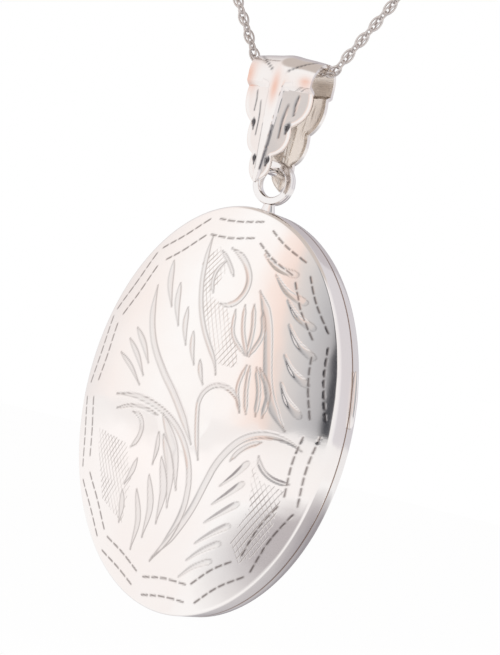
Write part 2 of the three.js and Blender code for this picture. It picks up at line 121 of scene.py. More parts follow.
# %% [markdown]
# ## Colour and nodes
# Colours are written as sRGB hex, the way a paint chart gives them, and Blender wants linear
# light, so one function converts them. A second small function adds a node, sets it and links it.

# %% Colour and node helpers
def linear(hex_colour):
    channels = [int(hex_colour[i:i + 2], 16) / 255 for i in (1, 3, 5)]
    curve = [c / 12.92 if c <= 0.04045 else ((c + 0.055) / 1.055) ** 2.4 for c in channels]
    return (*curve, 1.0)


def add_node(tree, kind, values=None, links=None, **settings):
    node = tree.nodes.new(kind)
    for name, value in settings.items():
        setattr(node, name, value)
    for name, value in (values or {}).items():
        node.inputs[name].default_value = value
    for name, socket in (links or {}).items():
        tree.links.new(socket, node.inputs[name])
    return node


def start_material(name):
    material = bpy.data.materials.new(name)
    material.use_nodes = True
    return material, material.node_tree, material.node_tree.nodes["Principled BSDF"]


# %% [markdown]
# ## Polished sterling silver
# Sterling is rolled, stamped and buffed on a mop. That leaves a mirror with hair-fine wheel marks,
# a faint unevenness from the hand, and a breath of warm tarnish. Silver is nearly white, so almost
# all of its look comes from what it mirrors. The noise scales are worked out from real sizes: a
# scale of 1000 puts one wave in each millimetre, because the scene is in metres.

# %% Silver finishes
PER_MM = 1000.0


def silver(name, colour, tarnish, roughness, spread, ripple=0.0, mask=None, groove="#8d8580"):
    material, tree, shader = start_material(name)
    place = add_node(tree, "ShaderNodeTexCoord").outputs["Object"]
    cloud = add_node(tree, "ShaderNodeTexNoise", {"Scale": 0.12 * PER_MM, "Detail": 3.0},
                     {"Vector": place})
    tint = add_node(tree, "ShaderNodeMix", {"A": linear(colour), "B": linear(tarnish)},
                    data_type="RGBA")
    tree.links.new(cloud.outputs["Fac"], tint.inputs["Factor"])
    colour_out = tint.outputs[2]
    # painted shade: where the mask attribute is high, the colour is darkened towards the shade colour
    if mask:
        cut = add_node(tree, "ShaderNodeAttribute", attribute_name=mask)
        darker = add_node(tree, "ShaderNodeMix", {"B": linear(groove)},
                          {"A": colour_out, "Factor": cut.outputs["Fac"]}, data_type="RGBA")
        colour_out = darker.outputs[2]
    tree.links.new(colour_out, shader.inputs["Base Color"])
    rough = add_node(tree, "ShaderNodeMapRange",
                     {"To Min": roughness, "To Max": roughness + spread},
                     {"Value": cloud.outputs["Fac"]})
    tree.links.new(rough.outputs["Result"], shader.inputs["Roughness"])
    shader.inputs["Metallic"].default_value = 1.0
    # wheel marks: long across the locket, fine up it
    stretch = add_node(tree, "ShaderNodeMapping", {"Scale": (0.6, 0.6, 5.0)}, {"Vector": place})
    marks = add_node(tree, "ShaderNodeTexNoise", {"Scale": 1.5 * PER_MM, "Detail": 2.0},
                     {"Vector": stretch.outputs["Vector"]})
    bump = add_node(tree, "ShaderNodeBump", {"Strength": 0.12, "Distance": 0.004 * MM},
                    {"Height": marks.outputs["Fac"]})
    if ripple:
        waves = add_node(tree, "ShaderNodeTexNoise", {"Scale": 0.3 * PER_MM, "Detail": 1.0},
                         {"Vector": place})
        bump = add_node(tree, "ShaderNodeBump", {"Strength": 1.0, "Distance": ripple},
                        {"Height": waves.outputs["Fac"], "Normal": bump.outputs["Normal"]})
    tree.links.new(bump.outputs["Normal"], shader.inputs["Normal"])
    return material


polished = silver("mirror_polished_silver", "#f9f8f8", "#efeae8", 0.05, 0.06, 0.03 * MM)
inside = silver("pickled_silver_inside", "#e6ded2", "#cdbfae", 0.22, 0.1)
wire = silver("tumbled_silver_wire", "#e6e1df", "#c4bbb6", 0.14, 0.08)
spring = silver("drawn_spring_wire", "#9a9a9d", "#86868a", 0.3, 0.1)
print("materials", [m.name for m in (polished, inside, wire, spring)])

# %% [markdown]
# ## Engraved silver
# The front is cut by hand with a graver. Each cut is a real groove in the mesh further down; the
# mesh also carries an attribute, 1 at the bottom of a cut, which this finish reads to paint a little
# grey shade into the cuts. The cross-hatched grounds are finer than the mesh, so they are wave bands,
# half a millimetre apart, shown only where a second attribute says that the ground is hatched, and
# darkened there as painted shade.

# %% Engraved finish
HATCH_SPACING = 0.46 * MM
HATCH_ANGLES = ((-31, 1.0), (24, 0.6))  # degrees from upright, and how strongly it is cut


def engraved_finish():
    # the grey #8f8683 is painted shade in the engraved cuts
    material = silver("hand_engraved_silver", "#fffefd", "#fbf3ef", 0.07, 0.05, 0.045 * MM,
                      mask="cut", groove="#8f8683")
    tree = material.node_tree
    shader = tree.nodes["Principled BSDF"]
    place = add_node(tree, "ShaderNodeTexCoord").outputs["Object"]
    ground = add_node(tree, "ShaderNodeAttribute", attribute_name="hatch").outputs["Fac"]
    normal = shader.inputs["Normal"].links[0].from_socket
    colour = shader.inputs["Base Color"].links[0].from_socket
    # a wave of scale s repeats every 2*pi/(20*s) metres
    wave_scale = 2 * math.pi / (20 * HATCH_SPACING)
    for angle, strength in HATCH_ANGLES:
        turned = add_node(tree, "ShaderNodeMapping", {"Rotation": (0, math.radians(angle), 0)},
                          {"Vector": place})
        wave = add_node(tree, "ShaderNodeTexWave",
                        {"Scale": wave_scale, "Distortion": 1.2, "Detail Scale": 0.15},
                        {"Vector": turned.outputs["Vector"]}, bands_direction="X")
        line = add_node(tree, "ShaderNodeMapRange", {"From Min": 0.22, "From Max": 0.0},
                        {"Value": wave.outputs["Fac"]})
        # the hand presses harder in some places than in others
        press = add_node(tree, "ShaderNodeTexNoise", {"Scale": 0.35 * PER_MM, "Detail": 1.0},
                         {"Vector": turned.outputs["Vector"]})
        pressed = add_node(tree, "ShaderNodeMapRange",
                           {"From Min": 0.35, "From Max": 0.6, "To Min": 0.15 * strength,
                            "To Max": strength}, {"Value": press.outputs["Fac"]})
        cut_here = add_node(tree, "ShaderNodeMath", operation="MULTIPLY")
        tree.links.new(pressed.outputs["Result"], cut_here.inputs[0])
        tree.links.new(ground, cut_here.inputs[1])
        shown = add_node(tree, "ShaderNodeMath", operation="MULTIPLY")
        tree.links.new(line.outputs["Result"], shown.inputs[0])
        tree.links.new(cut_here.outputs["Value"], shown.inputs[1])
        bump = add_node(tree, "ShaderNodeBump", {"Strength": 1.0, "Distance": -0.02 * MM},
                        {"Height": shown.outputs["Value"], "Normal": normal})
        normal = bump.outputs["Normal"]
        # painted shade: the fine hatch grooves are darkened in colour where the lines run
        dark = add_node(tree, "ShaderNodeMix", {"B": linear("#c4bdb9")},
                        {"A": colour, "Factor": shown.outputs["Value"]}, data_type="RGBA")
        colour = dark.outputs[2]
    tree.links.new(normal, shader.inputs["Normal"])
    tree.links.new(colour, shader.inputs["Base Color"])
    return material


engraved = engraved_finish()
# the dark #45444a is painted shade in the slits of the bail's veins
leaf_silver = silver("pressed_leaf_silver", "#faf8f7", "#f0e8e4", 0.08, 0.08, 0.08 * MM,
                     mask="cut", groove="#45444a")

# a breath of copper fire stain stays where the torch rested on the bail
stained = leaf_silver.node_tree
stain_mask = add_node(stained, "ShaderNodeAttribute", attribute_name="stain")
plain = stained.nodes["Principled BSDF"].inputs["Base Color"].links[0].from_socket
stain = add_node(stained, "ShaderNodeMix", {"B": linear("#efb9a2")},
                 {"A": plain, "Factor": stain_mask.outputs["Fac"]}, data_type="RGBA")
stained.links.new(stain.outputs[2], stained.nodes["Principled BSDF"].inputs["Base Color"])
leaf_back = silver("annealed_leaf_inside", "#f8f1ea", "#ece2d8", 0.3, 0.12, 0.04 * MM)
# the brown #8d6f5b is painted shade along the seam
seam_silver = silver("stamped_silver_back", "#f9f8f8", "#efeae8", 0.06, 0.06, 0.03 * MM,
                     mask="cut", groove="#8d6f5b")
print("engraved finish", len(engraved.node_tree.nodes), "nodes")

# %% [markdown]
# ## Acetate and card
# The photo windows are thin clear cellulose acetate, cut with a punch: glassy, with a faint warm
# cast. Behind them lies a blank ivory card with the soft mottling of paper fibre.

# %% Window and card finishes
acetate, acetate_tree, acetate_shader = start_material("clear_cellulose_acetate")
acetate_shader.inputs["Base Color"].default_value = linear("#f6f5f0")
acetate_shader.inputs["Transmission Weight"].default_value = 1.0
acetate_shader.inputs["IOR"].default_value = 1.48
acetate_shader.inputs["Alpha"].default_value = 0.3  # so thin a film shades the card very little
place = add_node(acetate_tree, "ShaderNodeTexCoord").outputs["Object"]
haze = add_node(acetate_tree, "ShaderNodeTexNoise", {"Scale": 0.4 * PER_MM}, {"Vector": place})
clarity = add_node(acetate_tree, "ShaderNodeMapRange", {"To Min": 0.02, "To Max": 0.08},
                   {"Value": haze.outputs["Fac"]})
acetate_tree.links.new(clarity.outputs["Result"], acetate_shader.inputs["Roughness"])

ivory, ivory_tree, ivory_shader = start_material("ivory_wove_card")
place = add_node(ivory_tree, "ShaderNodeTexCoord").outputs["Object"]
fibre = add_node(ivory_tree, "ShaderNodeTexNoise", {"Scale": 6 * PER_MM, "Detail": 4.0},
                 {"Vector": place})
paper = add_node(ivory_tree, "ShaderNodeMix", {"A": linear("#efe7d6"), "B": linear("#f7f1e4")},
                 {"Factor": fibre.outputs["Fac"]}, data_type="RGBA")
ivory_tree.links.new(paper.outputs[2], ivory_shader.inputs["Base Color"])
ivory_shader.inputs["Roughness"].default_value = 0.85
tooth = add_node(ivory_tree, "ShaderNodeBump", {"Strength": 0.4, "Distance": 0.01 * MM},
                 {"Height": fibre.outputs["Fac"]})
ivory_tree.links.new(tooth.outputs["Normal"], ivory_shader.inputs["Normal"])

# %% [markdown]
# ## Finishing a piece
# Each new piece stands for one or more CAD nodes and rides on their body. One function does the
# bookkeeping, so that no piece is left behind when the locket swings or opens.

# %% Finish a piece
def finish_piece(piece, name, body, material, slot, *nodes, angle=35):
    piece.name = name
    piece.data.name = name
    if material:
        piece.data.materials.clear()
        piece.data.materials.append(material)
    bpy.ops.object.select_all(action="DESELECT")
    bpy.context.view_layer.objects.active = piece
    piece.select_set(True)
    bpy.ops.object.transform_apply(location=True, rotation=True, scale=True)
    bpy.ops.object.shade_smooth_by_angle(angle=math.radians(angle))
    piece.select_set(False)
    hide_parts(*nodes)
    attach(piece, body)
    print(name, len(piece.data.polygons), "faces")
    return piece


def edit_all(piece):
    bpy.ops.object.select_all(action="DESELECT")
    bpy.context.view_layer.objects.active = piece
    piece.select_set(True)
    bpy.ops.object.mode_set(mode="EDIT")
    bpy.ops.mesh.select_all(action="SELECT")


def edit_done():
    bpy.ops.object.mode_set(mode="OBJECT")


# %% [markdown]
# ## The chain
# The chain is a fine twisted link chain. Every link is an oval of round wire, and each one is
# turned a sixth of a turn from the one before, so the chain looks wide where the links lie flat
# and narrow where they stand on edge. It follows the same route as in the CAD model: flat under the
# fold, a short bend, and a straight pull up to each end. It is held, so it is taut.

# %% Chain route
# one strand: x and z in millimetres
STRAND = [
    (2.1, -15.5), (3.97, -15.5), (4.34, -15.45), (4.69, -15.32), (5.0, -15.1), (5.24, -14.81),
    (6.67, -12.57), (8.1, -10.33), (9.52, -8.08), (10.95, -5.84), (12.38, -3.6),
]
route = ([Vector((-x, 0, z)) * MM for x, z in reversed(STRAND)]
         + [Vector((0, 0, STRAND[0][1])) * MM]
         + [Vector((x, 0, z)) * MM for x, z in STRAND])
lengths = [0.0]
for before, after in zip(route, route[1:]):
    lengths.append(lengths[-1] + (after - before).length)
CHAIN_LENGTH = lengths[-1]
CHAIN_WIDTH = 1.2 * MM
print("chain length", round(CHAIN_LENGTH, 4))


def on_route(distance):
    distance = min(max(distance, 0.0), CHAIN_LENGTH)
    index = max(i for i, run in enumerate(lengths[:-1]) if run <= distance)
    share = (distance - lengths[index]) / (lengths[index + 1] - lengths[index])
    direction = (route[index + 1] - route[index]).normalized()
    return route[index].lerp(route[index + 1], share), direction


# %% Chain links
LINK_PITCH = 0.77 * MM
LINK_LENGTH = 1.95 * MM
LINK_TWIST = math.radians(60)
WIRE = 0.21 * MM
LINK_OVERHANG = 0.55 * MM  # the last link of each strand reaches into its ring

bpy.ops.mesh.primitive_torus_add(
    major_radius=(CHAIN_WIDTH - WIRE) / 2, minor_radius=WIRE / 2,
    major_segments=24, minor_segments=8, location=(0, 0, 0))
link = bpy.context.object
edit_all(link)
bpy.ops.transform.resize(value=((LINK_LENGTH - WIRE) / (CHAIN_WIDTH - WIRE), 1, 1))
edit_done()
link_points = [v.co.copy() for v in link.data.vertices]
link_count = int((CHAIN_LENGTH + 2 * LINK_OVERHANG) / LINK_PITCH)
copies = []
for number in range(link_count):
    middle = (number + 0.5) * LINK_PITCH - LINK_OVERHANG
    spot, along = on_route(middle)
    outside = middle - min(max(middle, 0.0), CHAIN_LENGTH)
    spot = spot + along * outside
    sideways = along.cross(Vector((0, 1, 0))).normalized()
    spin = Matrix.Rotation(number * LINK_TWIST, 3, "X")
    basis = Matrix((along, Vector((0, 1, 0)), -sideways)).transposed() @ spin
    copy = link.copy()
    copy.data = link.data.copy()
    for vertex, point in zip(copy.data.vertices, link_points):
        vertex.co = basis @ point + spot
    bpy.context.collection.objects.link(copy)
    copies.append(copy)
bpy.data.objects.remove(link)
bpy.ops.object.select_all(action="DESELECT")
for copy in copies:
    copy.select_set(True)
bpy.context.view_layer.objects.active = copies[0]
bpy.ops.object.join()
chain = finish_piece(bpy.context.object, "chain_links", "chain", wire, "chain_silver", "chain",
                     angle=60)

# %% [markdown]
# ## The chain's ends
# The ends are small bought-in findings: a jump ring and a blank tag on one side, a spring-ring
# clasp on the other. Their shapes are right in the CAD model, but they are cut in flat facets. A
# merged copy is given smooth shading, and the tag also a fine bevel, which is what tumbling in steel
# shot does.

# %% Smooth copies of small CAD pieces
def smooth_copy(node, body, material, slot, bevel=0.0, angle=40):
    source = bpy.data.objects[node]
    piece = source.copy()
    piece.data = source.data.copy()
    for collection in source.users_collection:
        collection.objects.link(piece)
    piece.hide_render = False
    edit_all(piece)
    bpy.ops.mesh.remove_doubles(threshold=1e-7)
    edit_done()
    if bevel:
        soften = piece.modifiers.new("soft edges", "BEVEL")
        soften.width = bevel
        soften.segments = 2
        soften.limit_method = "ANGLE"
        soften.angle_limit = math.radians(40)
        bpy.ops.object.modifier_apply(modifier=soften.name)
    return finish_piece(piece, node + "_finished", body, material, slot, node, angle=angle)


with_chain = [
    smooth_copy(node, "chain", wire, "chain_silver")
    for node in ("tag_jump_ring", "clasp_jump_ring", "clasp_body")
]
with_chain.append(smooth_copy("chain_tag", "chain", wire, "chain_silver", bevel=0.08 * MM))
smooth_copy("clasp_trigger", "clasp_trigger", wire, "chain_silver", angle=60)
smooth_copy("clasp_spring", "chain", spring, "spring_steel", angle=60)

[tuple(point) for point in route]

# %% [markdown]
# ## Studio
# Silver shows its surroundings, so the surroundings are what is lit: a white room, one broad pale
# grey side, a thin dark strip where the camera stands, and a hint of warm skin tone beside it. The
# world paints these by direction for mirrored rays only. Other rays get a plain even white, and
# the camera sees a white backdrop.

# %% World
def in_turn(degrees):
    return 0.5 + degrees / 360


# direction round the locket, 0 towards the front and positive to the right, and its colour
SURROUNDINGS = [
    (-179, "#c6c1c5"), (-150, "#bdb7bb"), (-115, "#e9e6e6"), (-75, "#fbf6f4"), (-40, "#ffffff"),
    (-18, "#fffdfc"), (-8, "#fcefe9"), (2, "#f6e4dc"), (8, "#dedad8"), (22, "#c8c8ca"),
    (34, "#b6b6b9"), (37, "#3f4046"), (42, "#4a4b50"), (45, "#f6f4f4"), (95, "#eeecef"),
    (150, "#dad7db"),
]
world = bpy.data.worlds.new("white_studio")
scene.world = world
world.use_nodes = True
sky = world.node_tree
sky.nodes.clear()
view_of = add_node(sky, "ShaderNodeTexCoord").outputs["Generated"]
parts = add_node(sky, "ShaderNodeSeparateXYZ", links={"Vector": view_of})
flip = add_node(sky, "ShaderNodeMath", operation="MULTIPLY")
flip.inputs[1].default_value = -1.0
sky.links.new(parts.outputs["Y"], flip.inputs[0])
bearing = add_node(sky, "ShaderNodeMath", operation="ARCTAN2")
sky.links.new(parts.outputs["X"], bearing.inputs[0])
sky.links.new(flip.outputs["Value"], bearing.inputs[1])
share = add_node(sky, "ShaderNodeMapRange", {"From Min": -math.pi, "From Max": math.pi},
                 {"Value": bearing.outputs["Value"]})
ramp = add_node(sky, "ShaderNodeValToRGB", links={"Fac": share.outputs["Result"]})
while len(ramp.color_ramp.elements) < len(SURROUNDINGS):
    ramp.color_ramp.elements.new(1.0)
for stop, (degrees, colour) in zip(ramp.color_ramp.elements, SURROUNDINGS):
    stop.position = in_turn(degrees)
    stop.color = linear(colour)
height = add_node(sky, "ShaderNodeMapRange", {"From Min": 0.76, "From Max": 0.84},
                  {"Value": parts.outputs["Z"]})
ceiling = add_node(sky, "ShaderNodeMix", {"B": linear("#cdc4be")},
                   {"A": ramp.outputs["Color"], "Factor": height.outputs["Result"]},
                   data_type="RGBA")
rays = add_node(sky, "ShaderNodeLightPath")
mirrored = add_node(sky, "ShaderNodeMix", {"A": linear("#f4f4f4")},
                    {"B": ceiling.outputs[2], "Factor": rays.outputs["Is Glossy Ray"]},
                    data_type="RGBA")
seen = add_node(sky, "ShaderNodeMix", {"B": linear("#ffffff")},
                {"A": mirrored.outputs[2], "Factor": rays.outputs["Is Camera Ray"]},
                data_type="RGBA")
glow = add_node(sky, "ShaderNodeBackground", {"Strength": 1.0}, {"Color": seen.outputs[2]})
out = add_node(sky, "ShaderNodeOutputWorld", links={"Surface": glow.outputs["Background"]})

# %% Floor
FLOOR_DROP = 40 * MM
BACKDROP_SHARE = 0.96  # the rest of the floor still takes a faint shadow
MIRRORED_SHARE = 0.6
bpy.ops.mesh.primitive_plane_add(size=4, location=(0, 0, cad_box[0][2] - FLOOR_DROP))
floor = bpy.context.object
floor.name = "floor"
pale, pale_tree, pale_shader = start_material("white_paper_floor")
pale_shader.inputs["Base Color"].default_value = linear("#eee9e8")
pale_shader.inputs["Roughness"].default_value = 0.9
rays = add_node(pale_tree, "ShaderNodeLightPath")
backdrop = add_node(pale_tree, "ShaderNodeMath", operation="MULTIPLY")
backdrop.inputs[1].default_value = BACKDROP_SHARE
pale_tree.links.new(rays.outputs["Is Camera Ray"], backdrop.inputs[0])
lift = add_node(pale_tree, "ShaderNodeMath", {}, {2: backdrop.outputs["Value"]},
                operation="MULTIPLY_ADD")
lift.inputs[1].default_value = MIRRORED_SHARE
pale_tree.links.new(rays.outputs["Is Glossy Ray"], lift.inputs[0])
bright = add_node(pale_tree, "ShaderNodeEmission", {"Color": (1, 1, 1, 1), "Strength": 1.0})
paper_mix = add_node(pale_tree, "ShaderNodeMixShader", links={"Fac": lift.outputs["Value"]})
pale_tree.links.new(pale_shader.outputs["BSDF"], paper_mix.inputs[1])
pale_tree.links.new(bright.outputs["Emission"], paper_mix.inputs[2])
pale_tree.links.new(paper_mix.outputs["Shader"],
                    pale_tree.nodes["Material Output"].inputs["Surface"])
floor.data.materials.append(pale)

# %% Grey cards
CARD_DROP = 0.9 * FLOOR_DROP
EDGE_GLOW = 0.93  # how white a card is at its edge
GREY_MIDDLE = 0.6  # nearness to the middle at which it is all grey


def floor_card(name, x, y, size, dark, light):
    """A card just above the floor that only the silver mirrors, grey with a white edge."""
    bpy.ops.mesh.primitive_plane_add(size=size, location=(x, y, cad_box[0][2] - CARD_DROP))
    card = bpy.context.object
    card.name = name
    grey, tree, shader = start_material(name + "_paint")
    place = add_node(tree, "ShaderNodeTexCoord").outputs["Object"]
    mottle = add_node(tree, "ShaderNodeTexNoise", {"Scale": 0.3 * PER_MM}, {"Vector": place})
    paint = add_node(tree, "ShaderNodeMix", {"A": linear(dark), "B": linear(light)},
                     {"Factor": mottle.outputs["Fac"]}, data_type="RGBA")
    tree.links.new(paint.outputs[2], shader.inputs["Base Color"])
    shader.inputs["Roughness"].default_value = 0.95
    spread = add_node(tree, "ShaderNodeMapping", {"Scale": (2 / size, 2 / size, 2 / size)},
                      {"Vector": place})
    ball = add_node(tree, "ShaderNodeTexGradient", {}, {"Vector": spread.outputs["Vector"]},
                    gradient_type="SPHERICAL")
    fade = add_node(tree, "ShaderNodeMapRange",
                    {"From Max": GREY_MIDDLE, "To Min": EDGE_GLOW, "To Max": 0.0},
                    {"Value": ball.outputs["Fac"]})
    white = add_node(tree, "ShaderNodeEmission", {"Color": (1, 1, 1, 1), "Strength": 1.0})
    blend = add_node(tree, "ShaderNodeMixShader", links={"Fac": fade.outputs["Result"]})
    tree.links.new(shader.outputs["BSDF"], blend.inputs[1])
    tree.links.new(white.outputs["Emission"], blend.inputs[2])
    tree.links.new(blend.outputs["Shader"], tree.nodes["Material Output"].inputs["Surface"])
    card.data.materials.append(grey)
    card.visible_camera = card.visible_diffuse = card.visible_shadow = False


floor_card("card_behind", 0.0, 0.17, 0.34, "#989398", "#a8a3a7")
floor_card("card_at_right", 0.062, -0.075, 0.16, "#b1adb0", "#bebabc")

# %% Soft lamp
bpy.ops.object.light_add(type="AREA", location=(-0.35, -0.4, 0.35))
lamp = bpy.context.object
lamp.name = "soft_box"
lamp.data.size = 0.4
lamp.data.energy = 1.2
lamp.visible_glossy = False  # its square would show in the polish; the world is what silver mirrors
lamp.rotation_euler = (lamp.location - CENTRE).to_track_quat("Z", "Y").to_euler()

# %% [markdown]
# ## Oval turned pieces
# Bezels, frames, windows and cards are all one section carried round the oval. On the bench they
# are bent over an oval mandrel. Here a section is spun round the locket's depth axis into a circle
# and then squeezed, each point by the share that keeps its wall the same all the way round.

# %% Spin a section round the oval
OVAL_STEPS = 180


def spin_section(section, steps):
    """section: points (radius, y), closed, or open with both ends on the axis."""
    bpy.ops.mesh.primitive_circle_add(vertices=len(section), radius=1)
    piece = bpy.context.object
    for vertex, (radius, y) in zip(piece.data.vertices, section):
        vertex.co = (radius, y, 0)
    edit_all(piece)
    if section[0][0] == 0:
        # an open section runs from axis to axis: drop the edge that closes the circle
        edit_done()
        for vertex in piece.data.vertices:
            vertex.select = False
        for edge in piece.data.edges:
            edge.select = set(edge.vertices) == {0, len(section) - 1}
        bpy.ops.object.mode_set(mode="EDIT")
        bpy.ops.mesh.select_mode(type="EDGE")
        bpy.ops.mesh.delete(type="EDGE_FACE")
        bpy.ops.mesh.select_mode(type="VERT")
        bpy.ops.mesh.select_all(action="SELECT")
    bpy.ops.mesh.spin(steps=steps, angle=2 * math.pi, center=(0, 0, 0), axis=(0, 1, 0))
    bpy.ops.mesh.select_all(action="SELECT")
    bpy.ops.mesh.remove_doubles(threshold=1e-6)
    bpy.ops.mesh.normals_make_consistent(inside=False)
    edit_done()
    return piece


def oval_piece(section):
    """section: points (inset, share, y) from one end to the other; share 1 is on the inset oval."""
    piece = spin_section([((HALF_HEIGHT - inset) * share_out, y) for inset, share_out, y in section],
                         OVAL_STEPS)
    table = np.array([((HALF_HEIGHT - inset) * share_out, y,
                       (HALF_WIDTH - inset) / (HALF_HEIGHT - inset))
                      for inset, share_out, y in section])
    for vertex in piece.data.vertices:
        reach = math.hypot(vertex.co.x, vertex.co.z)
        near = np.argmin(np.hypot(table[:, 0] - reach, table[:, 1] - vertex.co.y))
        vertex.co.x *= table[near, 2]
        vertex.co += CENTRE
    return piece


def rise(share_out):
    """How far a crown has risen at this share of the way out to the rim."""
    reach = max(share_out, FLAT_SHARE)
    return (1 - reach ** CROWN_EXPONENT) / (1 - FLAT_SHARE ** CROWN_EXPONENT)


# %% [markdown]
# ## Inside the shells
# Each half holds a bezel, and pressed into it lie an oval frame, an acetate window and a card. The
# frame has a rounded front edge so that it catches light. The sizes are read from the CAD nodes.

# %% Bezels, frames, windows and cards
SOFT = 0.1 * MM


def inset_of(node):
    low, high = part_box(node)
    return HALF_WIDTH - (high[0] - low[0]) / 2


def disc(name, body, material, slot, node):
    low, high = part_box(node)
    inset = inset_of(node)
    section = [(inset, 0, low[1]), (inset, 1, low[1]), (inset, 1, high[1]), (inset, 0, high[1])]
    return finish_piece(oval_piece(section), name, body, material, slot, node)


def frame_ring(name, body, node, width):
    low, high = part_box(node)
    inset = inset_of(node)
    outer, inner = inset, inset + width
    section = [
        (outer, 1, low[1] + SOFT), (outer + SOFT, 1, low[1]), (inner - SOFT, 1, low[1]),
        (inner, 1, low[1] + SOFT), (inner, 1, high[1] - SOFT), (inner - SOFT, 1, high[1]),
        (outer + SOFT, 1, high[1]), (outer, 1, high[1] - SOFT),
    ]
    return finish_piece(oval_piece(section), name, body, inside, "inside_silver", node)


def bezel_ring(name, body, node, wall, ledge_width, ledge, ledge_high):
    low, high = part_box(node)
    inset = inset_of(node)
    near, far = (low[1], high[1]) if ledge_high else (high[1], low[1])
    step = -ledge if ledge_high else ledge
    lead = -SOFT if near > far else SOFT
    section = [
        (inset + SOFT, 1, near), (inset, 1, near + lead), (inset, 1, far),
        (inset + wall + ledge_width, 1, far), (inset + wall + ledge_width, 1, far + step),
        (inset + wall, 1, far + step), (inset + wall, 1, near + lead),
        (inset + wall - SOFT, 1, near),
    ]
    return finish_piece(oval_piece(section), name, body, inside, "inside_silver", node)


FRAME_WIDTH = 1.3 * MM
BEZEL_WALL = 0.6 * MM
LEDGE_WIDTH = 0.9 * MM
LEDGE = 0.25 * MM
for side in ("front", "back"):
    half = side + "_half"
    disc(side + "_ivory_card", half, ivory, "ivory_card", side + "_photo_card")
    disc(side + "_acetate", half, acetate, "clear_acetate", side + "_window")
    frame_ring(side + "_frame_ring", half, side + "_photo_frame", FRAME_WIDTH)
bezel_ring("front_bezel_ring", "front_half", "front_bezel", BEZEL_WALL, LEDGE_WIDTH, LEDGE, False)
bezel_ring("snap_lip_ring", "back_half", "snap_bezel", BEZEL_WALL, LEDGE_WIDTH, LEDGE, True)

# %% [markdown]
# ## The back shell
# The back is stamped from plain sheet: a straight side, a shoulder turned with a small radius, and
# a shallow crown flattened in the middle so that the locket lies still. The side is pressed in
# where the hinge's barrel passes, like a thumb mark.

# %% Back shell
CORNER = 0.22 * MM
HINGE_LOW, HINGE_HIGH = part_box("hinge_pin")
HINGE_X = (HINGE_LOW[0] + HINGE_HIGH[0]) / 2
HINGE_Y = (HINGE_LOW[1] + HINGE_HIGH[1]) / 2
CHANNEL = 0.7 * MM


def clear_hinge(piece):
    """Press the shell's side in where the hinge barrel turns."""
    for vertex in piece.data.vertices:
        x, y, z = vertex.co
        if HINGE_LOW[2] - 0.1 * MM < z < HINGE_HIGH[2] + 0.1 * MM:
            square = CHANNEL ** 2 - (y - HINGE_Y) ** 2
            if square > 0 and x < HINGE_X + math.sqrt(square):
                vertex.co.x = HINGE_X + math.sqrt(square)


crown_shares = [0.0, FLAT_SHARE] + [math.sin(math.radians(a)) for a in range(18, 85, 6)]
outer_crown = [(0, s, BACK_SHOULDER + BACK_CROWN * rise(s)) for s in crown_shares]
shoulder = [
    (0, 1 - 2 * CORNER / HALF_WIDTH, BACK_SHOULDER + BACK_CROWN * rise(1 - 2 * CORNER / HALF_WIDTH)),
    (0.3 * CORNER, 1, BACK_SHOULDER + 0.2 * CORNER),
    (0, 1, BACK_SHOULDER - CORNER),
]
side_wall = [(0, 1, BACK_SEAM + step * MM) for step in (0.6, 0.4, 0.2)]
edge = [(0, 1, BACK_SEAM + 0.1 * MM), (0, 1, BACK_SEAM + 0.05 * MM),
        (0.05 * MM, 1, BACK_SEAM), (SHEET, 1, BACK_SEAM)]
inner_crown = [(SHEET, s, BACK_SHOULDER + (BACK_CROWN - SHEET) * rise(s))
               for s in [1.0] + crown_shares[:0:-2] + [0.0]]
back_shell = oval_piece(outer_crown + shoulder + side_wall + edge + inner_crown)
clear_hinge(back_shell)
# painted shade: a brown line along the edge at the seam, where the gap between the shells is dark
seam = back_shell.data.attributes.new("cut", "FLOAT", "POINT")
for vertex, value in zip(back_shell.data.vertices, seam.data):
    value.value = 0.9 if vertex.co.y < BACK_SEAM + 0.06 * MM else 0.0
finish_piece(back_shell, "back_shell", "back_half", seam_silver, "polished_silver", "back_cover")

# %% [markdown]
# ## The engraver's layout
# The layout is in millimetres on the oval: a border of dashed double lines that dip inwards between
# evenly spaced corners, long scroll stems, fans of lances, feathers and petals that branch from
# them, and three hatched grounds. A stem is a sweep of the graver: a start, a heading and a few
# bends, each a length and a turn. A fan is a line of roots, a line of tips and a number of strokes.

# %% Curves
def smooth_line(points, spacing=0.35):
    """A Catmull-Rom curve through the points, as an array of x, z in millimetres."""
    ends = [np.array(points[0]) * 2 - np.array(points[1])]
    ends += [np.array(p, float) for p in points]
    ends += [np.array(points[-1]) * 2 - np.array(points[-2])]
    line = []
    for a, b, c, d in zip(ends, ends[1:], ends[2:], ends[3:]):
        count = max(2, int(np.linalg.norm(c - b) / spacing))
        for t in np.linspace(0, 1, count, endpoint=False):
            line.append(0.5 * (2 * b + (c - a) * t + (2 * a - 5 * b + 4 * c - d) * t ** 2
                               + (3 * b - a - 3 * c + d) * t ** 3))
    return np.array(line + [ends[-2]])


ARC_STEPS = 3


def sweep(x, z, heading, *bends):
    """Arcs laid end to end from x, z; 0 heads right and 90 up. A bend is a length and a turn."""
    points = [(x, z)]
    for length, turn in bends:
        step, bend = length / ARC_STEPS, turn / ARC_STEPS
        for _ in range(ARC_STEPS):
            middle = math.radians(heading + bend / 2)
            x, z = x + step * math.cos(middle), z + step * math.sin(middle)
            heading += bend
            points.append((x, z))
    return points


def evenly(points, count):
    line = smooth_line(points)
    return line[np.linspace(0, len(line) - 1, count).round().astype(int)]


def fan(count, widths, bows, roots, tips):
    """Strokes from roots to tips; a bow is the sideways rise as a share of the length."""
    rows = zip(np.linspace(*widths, count), np.linspace(*bows, count),
               evenly(roots, count), evenly(tips, count))
    for width, bow, root, tip in rows:
        step = tip - root
        middle = (root + tip) / 2 + bow * np.array((-step[1], step[0]))
        yield width, [tuple(root), tuple(middle), tuple(tip)]


